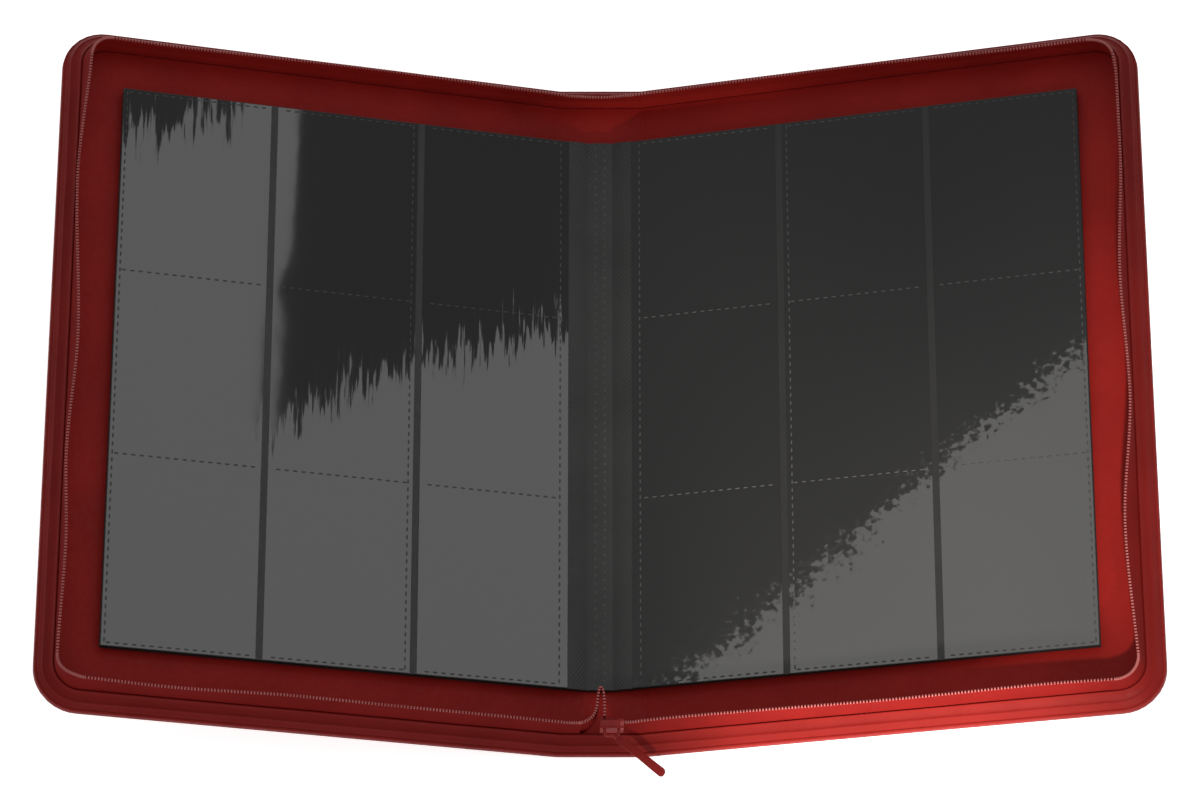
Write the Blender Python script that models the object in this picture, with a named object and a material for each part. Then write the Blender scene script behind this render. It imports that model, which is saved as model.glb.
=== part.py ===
"""Zip-around trading card binder, open in a shallow V with its pages spread.

Frame: +X to the right cover, +Y to the top edge of the pages, +Z up. The origin is the middle of the
spine's underside. Each cover is drawn lying flat from its own hinge line, and each stack of pages from its
own fold line, and an empty on that line then tilts it to the angle at which the binder stands open.
"""

from math import cos, pi, radians, sin

import bmesh
import bpy
from mathutils import Matrix, Vector

MM = 0.001
GAP = 0.3 * MM  # clearance between touching pieces

# Cover and spine
COVER_WIDTH = 250.6 * MM  # hinge line to fore-edge
COVER_HEIGHT = 351.0 * MM
COVER_RADIUS = 21.0 * MM  # outer corners
COVER_THICK = 5.0 * MM
COVER_START = 1.0 * MM  # rigid part of a cover begins this far out from the hinge line
COVER_TILT = radians(15.6)
SPINE_HALF = 20.0 * MM  # middle of the spine to a hinge line
SPINE_SOLID_HALF = 19.0 * MM
SKIN_FLOOR = 0.8 * MM
SKIN_RIM = 3.0 * MM
SKIN_ROUND = 1.2 * MM
FOAM_THICK = 1.0 * MM
BOARD_THICK = 1.6 * MM
LINING_THICK = 0.7 * MM

# Wall and zip, as distances inward from the cover's edge and up from its inner face
WALL_FOOT = 1.2 * MM
PIPING_LOW = (3.5 * MM, 3.4 * MM)
PIPING_HIGH = (7.6 * MM, 6.9 * MM)
WALL_TOP = 7.6 * MM
COVE_REACH = 10.4 * MM
TAPE_INSET = 8.1 * MM
TAPE_THICK = 1.0 * MM
TAPE_TOP = 18.4 * MM
TOP_LEAN = 2.6 * MM  # how much further the zip leans in along the top edge than elsewhere
COIL_SIZE = 1.2 * MM
WALL_START = 1.2 * MM
CORNER_STEPS = 6

# Pages
PAGE_TILT = radians(15.26)
FOLD_X = 6.0 * MM
FOLD_Z = 8.65 * MM
LEAF_COUNT = 10  # on each side of the opening
LEAF_THICK = 0.22 * MM
LEAF_PITCH = 0.31 * MM
CORE_THICK = 0.25 * MM
FILM_THICK = 0.11 * MM
FILM_AIR = 0.03 * MM
TOP_CLEARANCE = 0.05 * MM
PAGE_HEIGHT = 288.4 * MM
FILM_HEIGHT = 287.8 * MM
LEAF_START = 9.6 * MM  # fold line to the stiff part of a leaf
LEAF_END = 233.7 * MM
WELD_START = 13.84 * MM  # fold line to the row of welds beside the gutter
SLIT_PLACES = (71.1 * MM, 145.0 * MM)  # from the gutter welds to the two columns of pocket mouths
SLIT_WIDTH = 3.4 * MM
LOWER_LEAVES_TOP = 0.70 * MM  # below the stack's top plane

# Binding
BLOCK_HALF = 6.0 * MM
BLOCK_LOW = 5.2 * MM
BLOCK_HIGH = 9.9 * MM
BLOCK_HALF_HEIGHT = 144.6 * MM
GUTTER_INNER = 0.7 * MM
GUTTER_OUTER = 9.3 * MM
GUTTER_DEPTH = 3.3 * MM

# Zip end, slider and pull
SLIDER_CENTRE = (5.5 * MM, -167.2 * MM, 22.9 * MM)
SLIDER_LENGTH = 11.2 * MM
SLIDER_TALL = 7.6 * MM
SLIDER_PLATE = 1.1 * MM
SLIDER_MOUTH = 2.6 * MM  # between the plates
BRIDGE_LENGTH = 8.0 * MM
BRIDGE_REACH = 3.6 * MM
BRIDGE_BAR = 1.2 * MM
BRIDGE_TALL = 1.4 * MM
BRIDGE_RISE = 2.6 * MM  # above the middle of the slider
RING_RADIUS = 1.45 * MM
RING_WIRE = 0.35 * MM
RING_OFFSET = 0.8 * MM  # left of the middle of the bridge
PULL_PLAN = (26.4 * MM, -16.0 * MM)  # eye to tip, seen from above
PULL_DROP = 12.0 * MM
PULL_ROOT = 4.2 * MM  # eye to the start of the tab
PULL_WIDTH_EYE = 3.4 * MM
PULL_WIDTH_TIP = 4.6 * MM
PULL_THICK = 1.3 * MM
TAIL_X = 0.7 * MM
TAIL_LENGTH = 15.0 * MM
TAIL_FIN = 0.8 * MM
TAIL_SPREAD = 1.7 * MM
TAIL_LOW = 17.5 * MM
TAIL_HIGH = 25.2 * MM
STOP_SIZE = (1.8 * MM, 0.8 * MM, 3.0 * MM)

RED = (0.150, 0.012, 0.010, 1)
DARK_RED = (0.095, 0.008, 0.008, 1)
BLACK = (0.022, 0.022, 0.022, 1)
GREY = (0.040, 0.040, 0.042, 1)
BOARD_GREY = (0.25, 0.24, 0.22, 1)
FOAM_WHITE = (0.75, 0.73, 0.68, 1)
CLEAR = (0.30, 0.30, 0.30, 0.35)


def empty_scene():
    for obj in list(bpy.data.objects):
        bpy.data.objects.remove(obj, do_unlink=True)


def material(name, colour, roughness, metallic=0.0):
    made = bpy.data.materials.new(name)
    made.use_nodes = True
    shader = made.node_tree.nodes["Principled BSDF"]
    shader.inputs["Base Color"].default_value = colour
    shader.inputs["Alpha"].default_value = colour[3]
    shader.inputs["Roughness"].default_value = roughness
    shader.inputs["Metallic"].default_value = metallic
    return made


def collection(name, hidden=False):
    made = bpy.data.collections.new(name)
    made.hide_render = hidden
    bpy.context.scene.collection.children.link(made)
    return made


def pivot(name, place, tilt=0.0):
    """An empty on a joint's axis, which its moving pieces are parented to."""
    empty = bpy.data.objects.new(name, None)
    empty.location = place
    empty.rotation_euler.y = tilt
    PARTS.objects.link(empty)
    return empty


def finish_piece(obj, parent, finish):
    obj.data.materials.clear()
    obj.data.materials.append(finish)
    if obj.name not in PARTS.objects:
        PARTS.objects.link(obj)
    obj.parent = parent
    return obj


def poly_curve(name, points, closed):
    curve = bpy.data.curves.new(name, "CURVE")
    curve.dimensions = "2D"
    spline = curve.splines.new("POLY")
    spline.points.add(len(points) - 1)
    for target, (x, y) in zip(spline.points, points):
        target.co = (x, y, 0, 1)
    spline.use_cyclic_u = closed
    return curve


def mesh_from_curve(name, obj):
    """The welded mesh of a curve object, which is then removed."""
    PARTS.objects.link(obj)
    bpy.context.view_layer.update()
    evaluated = obj.evaluated_get(bpy.context.evaluated_depsgraph_get())
    mesh = bpy.data.meshes.new_from_object(evaluated)
    mesh.transform(obj.matrix_world)
    bpy.data.objects.remove(obj, do_unlink=True)
    shape = bmesh.new()
    shape.from_mesh(mesh)
    bmesh.ops.remove_doubles(shape, verts=shape.verts, dist=0.00001)
    bmesh.ops.recalc_face_normals(shape, faces=shape.faces)
    shape.to_mesh(mesh)
    shape.free()
    mesh.name = name
    return bpy.data.objects.new(name, mesh)


def plate(name, outline, low, thick, rounding=0.0):
    """A flat sheet: a filled outline, extruded up from low, with its edges rounded if asked."""
    curve = poly_curve(name, outline, closed=True)
    curve.fill_mode = "BOTH"
    curve.extrude = thick / 2 - rounding
    curve.bevel_depth = rounding
    curve.bevel_resolution = 1
    curve.offset = -rounding
    obj = bpy.data.objects.new(name + "_outline", curve)
    obj.location.z = low + thick / 2
    return mesh_from_curve(name, obj)


def sweep(name, path, profile):
    """A closed profile of (inward, up) points, carried along a flat path with its inside on the left."""
    facing = [(-inward, up) for inward, up in profile]
    section = bpy.data.objects.new(name + "_section", poly_curve(name + "_section", facing, closed=True))
    curve = poly_curve(name, path, closed=False)
    curve.bevel_mode = "OBJECT"
    curve.bevel_object = section
    curve.use_fill_caps = True
    swept = mesh_from_curve(name, bpy.data.objects.new(name + "_path", curve))
    bpy.data.objects.remove(section, do_unlink=True)
    return swept


def unlinked(obj):
    for owner in list(obj.users_collection):
        owner.objects.unlink(obj)
    return obj


def box(name, low, high):
    bpy.ops.mesh.primitive_cube_add(size=1)
    obj = bpy.context.object
    obj.name = name
    middle = (Vector(low) + Vector(high)) / 2
    size = Vector(high) - Vector(low)
    obj.data.transform(Matrix.Translation(middle) @ Matrix.Diagonal((*size, 1)))
    return unlinked(obj)


def boolean(obj, other, operation):
    """Cuts or joins other, which becomes a hidden helper that moves with obj."""
    CUTTERS.objects.link(other)
    other.parent = obj.parent
    other.hide_render = True
    other.display_type = "WIRE"
    modifier = obj.modifiers.new(operation.lower(), "BOOLEAN")
    modifier.operation = operation
    modifier.object = other
    modifier.solver = "EXACT"


def corner(centre, radius, start):
    """Points of a quarter turn about centre, from the angle start, anticlockwise."""
    turns = [start + pi / 2 * step / CORNER_STEPS for step in range(CORNER_STEPS + 1)]
    return [(centre[0] + radius * cos(a), centre[1] + radius * sin(a)) for a in turns]


def edge_path(inset, start):
    """The cover's three free sides, inset from its edge: along the bottom, up the fore-edge, back along the top."""
    radius = COVER_RADIUS - inset
    far = COVER_WIDTH - COVER_RADIUS
    side = COVER_HEIGHT / 2 - COVER_RADIUS
    low = corner((far, -side), radius, -pi / 2)
    high = corner((far, side), radius, 0)
    reach = COVER_HEIGHT / 2 - inset
    return [(start, -reach)] + low + high + [(start, reach)]


def mirrored(points, side):
    """The same outline on the left, walked the other way, so that its inside stays on the left."""
    return points if side > 0 else [(-x, y) for x, y in reversed(points)]


def sheet_outline(near, far, height):
    return [(near, -height / 2), (far, -height / 2), (far, height / 2), (near, height / 2)]


def wall_profile():
    """Section of the wall: two rows of piping outside, and a cove that turns into the lining inside."""
    low_in, low_up = PIPING_LOW
    high_in, high_up = PIPING_HIGH
    return [
        (WALL_FOOT, GAP),
        (low_in - 0.5 * MM, low_up - 0.4 * MM),
        (low_in, low_up),
        (low_in + 0.6 * MM, low_up + 0.3 * MM),
        (high_in - 0.5 * MM, high_up - 0.7 * MM),
        (high_in, high_up),
        (high_in + 0.3 * MM, WALL_TOP),
        (high_in + 1.7 * MM, WALL_TOP),
        (high_in + 1.6 * MM, 2.0 * MM),
        (COVE_REACH, GAP),
    ]


def tape_profile():
    low = WALL_TOP + GAP
    return [
        (TAPE_INSET, low),
        (TAPE_INSET, TAPE_TOP),
        (TAPE_INSET + TAPE_THICK, TAPE_TOP),
        (TAPE_INSET + TAPE_THICK, low),
    ]


def coil_profile():
    low = TAPE_TOP + 0.1 * MM
    inner = TAPE_INSET + TAPE_THICK
    return [
        (inner - COIL_SIZE, low),
        (inner - COIL_SIZE, low + COIL_SIZE * 0.7),
        (inner - COIL_SIZE / 2, low + COIL_SIZE),
        (inner, low + COIL_SIZE * 0.7),
        (inner, low),
    ]


def lean_top_edge(piece, base=0.0):
    """Leans the zip along the top edge further inward than along the other sides."""
    for point in piece.data.vertices:
        rise = (point.co.z - base - WALL_TOP) / (TAPE_TOP - WALL_TOP)
        if point.co.y > 0:
            point.co.y -= TOP_LEAN * rise
    return piece


def make_cover(name, side, hinge):
    """Skin, foam, board and lining of one cover, and the wall and zip round its free edges."""
    outline = mirrored(edge_path(0, COVER_START), side)
    skin = finish_piece(plate(name + "_skin", outline, -COVER_THICK, COVER_THICK, SKIN_ROUND), hinge, LEATHER)
    inside = COVER_START + SKIN_RIM
    pocket = plate(
        name + "_pocket",
        mirrored(edge_path(SKIN_RIM, inside), side),
        -COVER_THICK + SKIN_FLOOR,
        2 * COVER_THICK,
    )
    boolean(skin, pocket, "DIFFERENCE")
    layers = (
        ("_foam", FOAM_THICK, FOAM),
        ("_board", BOARD_THICK, BOARD),
        ("_lining", LINING_THICK, LEATHER),
    )
    filling = mirrored(edge_path(SKIN_RIM + GAP, inside + GAP), side)
    low = -COVER_THICK + SKIN_FLOOR
    for suffix, thick, finish in layers:
        low += 0.2 * MM
        if suffix == "_lining":
            low = -thick
        finish_piece(plate(name + suffix, filling, low, thick), hinge, finish)
        low += thick
    run = mirrored(edge_path(0, WALL_START), side)
    finish_piece(sweep(name + "_gusset", run, wall_profile()), hinge, LEATHER)
    finish_piece(lean_top_edge(sweep(name + "_zip_tape", run, tape_profile())), hinge, WEBBING)
    finish_piece(lean_top_edge(sweep(name + "_zip_coil", run, coil_profile())), hinge, COIL)


def make_spine():
    half_height = COVER_HEIGHT / 2
    wide = SPINE_SOLID_HALF
    skin = plate("spine_skin", sheet_outline(-wide, wide, COVER_HEIGHT), 0, COVER_THICK, SKIN_ROUND)
    finish_piece(skin, None, LEATHER)
    inner = wide - 2 * MM
    deep = half_height - SKIN_RIM
    boolean(
        skin,
        box("spine_pocket", (-inner, -deep, SKIN_FLOOR), (inner, deep, 2 * COVER_THICK)),
        "DIFFERENCE",
    )
    inner -= GAP
    deep -= GAP
    board_low = SKIN_FLOOR + 0.2 * MM
    lining_low = COVER_THICK - LINING_THICK
    board = box("spine_board", (-inner, -deep, board_low), (inner, deep, lining_low - 0.2 * MM))
    finish_piece(board, None, BOARD)
    lining = box("spine_lining", (-inner, -deep, lining_low), (inner, deep, COVER_THICK))
    finish_piece(lining, None, LEATHER)
    block = box(
        "binding_block",
        (-BLOCK_HALF, -BLOCK_HALF_HEIGHT, BLOCK_LOW),
        (BLOCK_HALF, BLOCK_HALF_HEIGHT, BLOCK_HIGH),
    )
    finish_piece(block, None, PAGE)


def make_spine_ends():
    """The soft wall and zip tape that cross each end of the spine, and the flexing strips at the hinges."""
    half_height = COVER_HEIGHT / 2
    wide = 13.0 * MM  # clear of the cover walls, which lean over the spine when the binder stands open
    for end, sign in (("top", 1), ("bottom", -1)):
        run = [(sign * wide, sign * half_height), (-sign * wide, sign * half_height)]
        for suffix, profile, finish in (
            ("gusset", wall_profile(), LEATHER),
            ("zip_tape", tape_profile(), WEBBING),
        ):
            piece = sweep(f"spine_{suffix}_{end}", run, profile)
            piece.data.transform(Matrix.Translation((0, 0, COVER_THICK)))
            if suffix == "zip_tape":
                lean_top_edge(piece, COVER_THICK)
            finish_piece(piece, None, finish)
    reach = half_height - 2 * MM
    for name, side in (("left", -1), ("right", 1)):
        middle = side * SPINE_HALF
        crease = box(
            f"hinge_crease_{name}",
            (middle - 0.7 * MM, -reach, 0.7 * MM),
            (middle + 0.7 * MM, reach, COVER_THICK - GAP),
        )
        finish_piece(crease, None, LEATHER)


def leaf(name, side, fold, near, far, height, top, thick, finish):
    low, high = sorted((side * near, side * far))
    piece = box(name, (low, -height / 2, -top - thick), (high, height / 2, -top))
    return finish_piece(piece, fold, finish)


def film_columns():
    """Near and far edge of each of the three strips of pocket film, from the fold line."""
    slits = [WELD_START + place for place in SLIT_PLACES]
    starts = [LEAF_START + 0.2 * MM] + [slit + SLIT_WIDTH / 2 for slit in slits]
    ends = [slit - SLIT_WIDTH / 2 for slit in slits] + [LEAF_END - 0.3 * MM]
    return list(zip(starts, ends))


def make_top_page(side_name, side, fold, both_faces):
    """The page that shows: a black core with three strips of clear film on each face."""
    name = f"page_{side_name}_top"
    film_top = TOP_CLEARANCE
    core_top = film_top + FILM_THICK + FILM_AIR
    leaf(name + "_core", side, fold, LEAF_START, LEAF_END, PAGE_HEIGHT, core_top, CORE_THICK, PAGE)
    back_top = core_top + CORE_THICK + FILM_AIR
    faces = [("front", film_top)] + ([("back", back_top)] if both_faces else [])
    for face, top in faces:
        for place, (near, far) in zip(("inner", "middle", "outer"), film_columns()):
            film = f"{name}_film_{face}_{place}"
            leaf(film, side, fold, near, far, FILM_HEIGHT, top, FILM_THICK, FILM)


def make_lower_leaves(side_name, side, fold):
    for index in range(LEAF_COUNT - 1):
        top = LOWER_LEAVES_TOP + index * LEAF_PITCH
        name = f"page_{side_name}_{index + 2:02d}"
        leaf(name, side, fold, LEAF_START, LEAF_END, PAGE_HEIGHT, top, LEAF_THICK, PAGE)


def make_gutter(side_name, side, fold):
    """The slack inner strip of the stack, between the binding and the stiff part of the leaves."""
    name = "gutter_" + side_name
    height = 2 * BLOCK_HALF_HEIGHT
    leaf(name, side, fold, GUTTER_INNER, GUTTER_OUTER, height, TOP_CLEARANCE, GUTTER_DEPTH, GUTTER)


def make_slider(slide):
    """Two plates over the coil, joined by a neck at the mouth end, with a bridge for the pull."""
    x, y, z = SLIDER_CENTRE
    low_x, high_x = x - SLIDER_LENGTH / 2, x + SLIDER_LENGTH / 2
    low_z, high_z = z - SLIDER_TALL / 2, z + SLIDER_TALL / 2
    half = SLIDER_MOUTH / 2 + SLIDER_PLATE
    body = box("slider_body", (low_x, y - half, low_z), (high_x, y + half, high_z))
    finish_piece(body, slide, METAL)
    mouth = SLIDER_MOUTH / 2
    channel = box(
        "slider_channel",
        (low_x - MM, y - mouth, low_z - MM),
        (high_x + MM, y + mouth, high_z - 1.2 * MM),
    )
    boolean(body, channel, "DIFFERENCE")
    outer = y - half - GAP
    middle = z + BRIDGE_RISE
    bar = BRIDGE_TALL / 2
    bridge = box(
        "slider_bridge",
        (x - BRIDGE_LENGTH / 2, outer - BRIDGE_REACH, middle - bar),
        (x + BRIDGE_LENGTH / 2, outer, middle + bar),
    )
    finish_piece(bridge, slide, METAL)
    window = box(
        "slider_bridge_window",
        (x - BRIDGE_LENGTH / 2 + BRIDGE_BAR, outer - BRIDGE_REACH + BRIDGE_BAR, middle - 2 * bar),
        (x + BRIDGE_LENGTH / 2 - BRIDGE_BAR, outer - 0.5 * MM, middle + 2 * bar),
    )
    boolean(bridge, window, "DIFFERENCE")


def bridge_bar_middle():
    """The point on the bridge's outer bar that the pull's ring hangs from."""
    x, y, z = SLIDER_CENTRE
    outer = y - SLIDER_MOUTH / 2 - SLIDER_PLATE - GAP
    return x - RING_OFFSET, outer - BRIDGE_REACH + BRIDGE_BAR / 2, z + BRIDGE_RISE


def rod(name, start, end, radius):
    along = Vector(end) - Vector(start)
    bpy.ops.mesh.primitive_cylinder_add(vertices=10, radius=radius, depth=along.length)
    obj = bpy.context.object
    obj.name = name
    turn = along.to_track_quat("Z", "Y").to_matrix().to_4x4()
    obj.data.transform(Matrix.Translation((Vector(start) + Vector(end)) / 2) @ turn)
    return unlinked(obj)


def make_pull(eye):
    """A tapered leatherette tab on a small ring, which turns on the bar of the slider's bridge."""
    plan = Vector((PULL_PLAN[0], PULL_PLAN[1], -PULL_DROP))
    direction = plan.normalized()
    across = Vector((0, 0, 1)).cross(direction).normalized()
    normal = direction.cross(across)
    length = plan.length
    trim = 1.6 * MM  # cut off each corner of the tip
    outline = [
        (PULL_ROOT, -PULL_WIDTH_EYE / 2),
        (length - trim, -PULL_WIDTH_TIP / 2),
        (length, -PULL_WIDTH_TIP / 2 + trim),
        (length, PULL_WIDTH_TIP / 2 - trim),
        (length - trim, PULL_WIDTH_TIP / 2),
        (PULL_ROOT, PULL_WIDTH_EYE / 2),
    ]
    tab = plate("pull_tab", outline, -PULL_THICK / 2, PULL_THICK, 0.3 * MM)
    tab.data.transform(Matrix((direction, across, normal)).transposed().to_4x4())
    finish_piece(tab, eye, LEATHER)
    bpy.ops.mesh.primitive_torus_add(
        major_segments=16, minor_segments=8, major_radius=RING_RADIUS, minor_radius=RING_WIRE
    )
    ring = bpy.context.object
    ring.name = "pull_ring"
    ring.data.transform(Matrix.Rotation(pi / 2, 4, "Y"))
    boolean(tab, unlinked(ring), "UNION")
    drop = Vector((0, direction.y, direction.z)).normalized()
    neck = rod("pull_neck", drop * RING_RADIUS, direction * (PULL_ROOT + 1.5 * MM), 1.3 * RING_WIRE)
    boolean(tab, neck, "UNION")


def make_zip_end(carrier):
    """The joined end of the two tapes, folded in over the spine, and the stop that closes it."""
    x = TAIL_X
    near = SLIDER_CENTRE[1] + SLIDER_MOUTH / 2 + SLIDER_PLATE + STOP_SIZE[1] + 2 * GAP
    half = TAIL_SPREAD / 2 + TAIL_FIN
    tail = box("zip_tail", (x - half, near, TAIL_LOW), (x + half, near + TAIL_LENGTH, TAIL_HIGH))
    finish_piece(tail, None, WEBBING)
    split = box(
        "zip_tail_split",
        (x - TAIL_SPREAD / 2, near + 1.5 * MM, TAIL_LOW + 2 * MM),
        (x + TAIL_SPREAD / 2, near + TAIL_LENGTH + MM, TAIL_HIGH + MM),
    )
    boolean(tail, split, "DIFFERENCE")
    wide, deep, tall = STOP_SIZE
    near = SLIDER_CENTRE[1] + SLIDER_MOUTH / 2 + SLIDER_PLATE + GAP
    low = SLIDER_CENTRE[2] - tall / 2
    stop = box("zip_bottom_stop", (x - wide / 2, near, low), (x + wide / 2, near + deep, low + tall))
    finish_piece(stop, carrier, METAL)


empty_scene()
PARTS = collection("trading_card_binder")
CUTTERS = collection("cutters", hidden=True)
LEATHER = material("red_leatherette", RED, 0.45)
WEBBING = material("zip_webbing", DARK_RED, 0.7)
COIL = material("zip_coil", RED, 0.4)
METAL = material("coated_metal", RED, 0.35)
PAGE = material("black_page", BLACK, 0.5)
GUTTER = material("embossed_gutter", GREY, 0.6)
FILM = material("clear_film", CLEAR, 0.12)
BOARD = material("grey_board", BOARD_GREY, 0.8)
FOAM = material("foam", FOAM_WHITE, 0.9)

make_spine()
make_spine_ends()
for SIDE_NAME, SIDE, COVER_NAME in (("left", -1, "front_cover"), ("right", 1, "back_cover")):
    HINGE = pivot(COVER_NAME + "_hinge", (SIDE * SPINE_HALF, 0, COVER_THICK), -SIDE * COVER_TILT)
    make_cover(COVER_NAME, SIDE, HINGE)
    FOLD = pivot(f"page_{SIDE_NAME}_fold", (SIDE * FOLD_X, 0, FOLD_Z), -SIDE * PAGE_TILT)
    make_gutter(SIDE_NAME, SIDE, FOLD)
    make_lower_leaves(SIDE_NAME, SIDE, FOLD)
    make_top_page(SIDE_NAME, SIDE, FOLD, both_faces=SIDE < 0)
make_zip_end(pivot("zip_end_slide", (0, 0, 0)))
make_slider(pivot("zip_slider_slide", (0, 0, 0)))
make_pull(pivot("zip_pull_pivot", bridge_bar_middle()))
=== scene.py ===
"""Looks of the trading card binder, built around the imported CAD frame.

All shapes are worked out in millimetres and turned into metres when a mesh is made.
A point on a cover is (side, w, y, n): side -1 left or +1 right, w the distance from the middle of the
spine along the cover's inner face, y along the spine, n the height above that inner face.
A point on a page stack is (side, s, y, m): s from the fold line, m the depth below the top plane.
A place along a cover's rim is (side, u): u the distance from the bottom hinge line round to the top one.
"""

import math

import bmesh
import bpy
import numpy as np
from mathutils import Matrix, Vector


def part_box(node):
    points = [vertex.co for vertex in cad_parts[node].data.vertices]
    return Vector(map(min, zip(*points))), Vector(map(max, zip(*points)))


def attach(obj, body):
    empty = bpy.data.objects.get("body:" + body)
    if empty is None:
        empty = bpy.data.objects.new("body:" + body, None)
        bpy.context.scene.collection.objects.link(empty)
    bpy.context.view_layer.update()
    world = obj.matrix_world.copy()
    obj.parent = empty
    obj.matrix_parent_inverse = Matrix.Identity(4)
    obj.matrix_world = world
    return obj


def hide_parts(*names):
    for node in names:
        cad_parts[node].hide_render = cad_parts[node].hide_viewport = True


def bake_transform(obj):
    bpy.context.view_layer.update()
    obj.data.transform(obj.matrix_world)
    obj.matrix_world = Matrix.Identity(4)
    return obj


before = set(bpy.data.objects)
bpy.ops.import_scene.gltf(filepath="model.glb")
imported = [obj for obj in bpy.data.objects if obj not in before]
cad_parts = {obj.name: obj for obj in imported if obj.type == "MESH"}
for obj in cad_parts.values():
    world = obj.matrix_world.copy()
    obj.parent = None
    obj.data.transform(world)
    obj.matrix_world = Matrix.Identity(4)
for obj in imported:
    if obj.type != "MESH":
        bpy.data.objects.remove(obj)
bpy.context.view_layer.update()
random = np.random.default_rng(11)

MM = 0.001
SPINE_HALF = 20.0  # from the spine's middle to each hinge line
INNER_FACE = 5.0  # height of the spine's inner face
COVER_TILT = math.radians(15.6)
BEND_REACH = 24.0  # the lining has turned fully at this distance from the spine's middle
END_SAG = 1.5  # how far the zip sinks over the spine
SAG_REACH = 26.0  # the sinking ends at this distance from the spine's middle
COVER_START = 27.0  # the cover's own skin and lining begin here, beyond the hinge strip
COVER_END = 270.6
COVER_HALF = 175.5
CORNER = 21.0
BOTTOM_RUN = COVER_END - CORNER - SPINE_HALF
CORNER_RUN = CORNER * math.pi / 2
FORE_RUN = 2 * (COVER_HALF - CORNER)
RIM_LENGTH = 2 * BOTTOM_RUN + 2 * CORNER_RUN + FORE_RUN
TEETH_HEIGHT = 18.6
TOOTH_PITCH = 1.55
TAPE_FOOT = (8.3, 6.6)  # (inset, height) where the tape stands on the wall
PAGE_TILT = math.radians(15.26)
FOLD_X = 6.0
FOLD_Z = 8.65
PAGE_HALF = 144.2
PAGE_START = 9.6
PAGE_END = 233.7
POCKET_ROW = 95.0  # from one row of welds across the page to the next
WELD_START = 13.84
SLITS = (84.94, 158.84)  # the pocket mouths, between the strips of film
SLIT_WIDTH = 3.4
CAMERA_PLACE = (0, -913.3, 2159.5)
SIDES = ((-1, "left", "front_cover"), (1, "right", "back_cover"))

# How far in the zip's teeth stand at the high and low spots along each cover's rim: (u, inset)
WANDER = {
    -1: ((-20, 9.9), (60, 10.2), (130, 10.75), (190, 9.4), (236, 10.35), (258, 7.75), (318, 9.35),
         (362, 7.65), (422, 10.5), (505, 6.8), (581, 11.2), (637, 11.8), (737, 10.6), (817, 11.6),
         (854, 12.3)),
    1: ((-20, 9.9), (20, 10.7), (130, 9.65), (195, 10.25), (242, 9.25), (325, 13.15), (394, 8.0),
        (454, 10.1), (520, 7.3), (556, 7.5), (601, 12.5), (640, 12.6), (727, 10.75), (833, 11.5),
        (854, 12.3)),
}


def smooth(t):
    """Soft step from 0 to 1."""
    t = np.clip(t, 0, 1)
    return t * t * (3 - 2 * t)


def unit(vectors):
    return vectors / np.linalg.norm(vectors, axis=-1, keepdims=True)


def distances(points):
    """Distance of each point from the first, along the line."""
    return np.concatenate([[0], np.cumsum(np.linalg.norm(np.diff(points, axis=0), axis=1))])


def circle(count):
    """Evenly spaced angles round a circle."""
    return np.linspace(0, 2 * math.pi, count, endpoint=False)


def wander(side, u):
    """Inset of the teeth at distance u along the rim."""
    marks = WANDER[side]
    u = np.asarray(u, float)
    inset = np.full(u.shape, float(marks[0][1]))
    for (u0, d0), (u1, d1) in zip(marks, marks[1:]):
        inset = inset + (d1 - d0) * smooth((u - u0) / (u1 - u0))
    return inset


def place(side, w, y, n):
    """Cover coordinates to space; the inner face turns softly from the spine to the cover."""
    w, y, n = np.broadcast_arrays(np.asarray(w, float), y, n)
    turn = COVER_TILT * smooth(w / BEND_REACH)
    beyond = np.maximum(w - SPINE_HALF, 0)
    n = n - END_SAG * (1 - smooth(w / SAG_REACH)) * np.maximum(n, 0) / TEETH_HEIGHT
    x = np.minimum(w, SPINE_HALF) + beyond * math.cos(COVER_TILT) - n * np.sin(turn)
    z = INNER_FACE + beyond * math.sin(COVER_TILT) + n * np.cos(turn)
    return np.stack([side * x, y, z], -1)


def page(side, s, y, m):
    """Page coordinates to space."""
    s, y, m = np.broadcast_arrays(np.asarray(s, float), y, m)
    x = FOLD_X + s * math.cos(PAGE_TILT) + m * math.sin(PAGE_TILT)
    z = FOLD_Z + s * math.sin(PAGE_TILT) - m * math.cos(PAGE_TILT)
    return np.stack([side * x, y, z], -1)


def rim(u):
    """Point (w, y) on the cover's outline at u, and its inward normal."""
    u = np.asarray(u, float)
    fore = BOTTOM_RUN + CORNER_RUN
    top = fore + FORE_RUN
    a = np.clip((u - BOTTOM_RUN) / CORNER, 0, math.pi / 2)
    b = np.clip((u - top) / CORNER, 0, math.pi / 2)
    along = np.minimum(u, BOTTOM_RUN) - np.maximum(u - top - CORNER_RUN, 0)
    w = SPINE_HALF + along + CORNER * (np.sin(a) - 1 + np.cos(b))
    y = -COVER_HALF + CORNER * (1 - np.cos(a)) + np.clip(u - fore, 0, FORE_RUN) + CORNER * np.sin(b)
    angle = a + b
    return w, y, -np.sin(angle), np.cos(angle)


def rim_point(side, u, inset, n):
    """Point in space at distance u along the rim, moved in by inset, at height n."""
    w, y, nw, ny = rim(u)
    return place(side, w + nw * inset, y + ny * inset, n)


def corner_distance(w, y, inset=0.0):
    """Distance from (w, y) in from the cover's rounded outline, moved in by inset."""
    end, half, radius = COVER_END - inset, COVER_HALF - inset, CORNER - inset
    over_w = np.maximum(w - (end - radius), 0)
    over_y = np.maximum(np.abs(y) - (half - radius), 0)
    inside = np.minimum(end - w, half - np.abs(y))
    return np.where((over_w > 0) & (over_y > 0), radius - np.hypot(over_w, over_y), inside)


# Meshes

def link_new(name, data):
    """New object in the scene from a mesh, lamp or camera."""
    obj = bpy.data.objects.new(name, data)
    bpy.context.scene.collection.objects.link(obj)
    return obj


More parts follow.
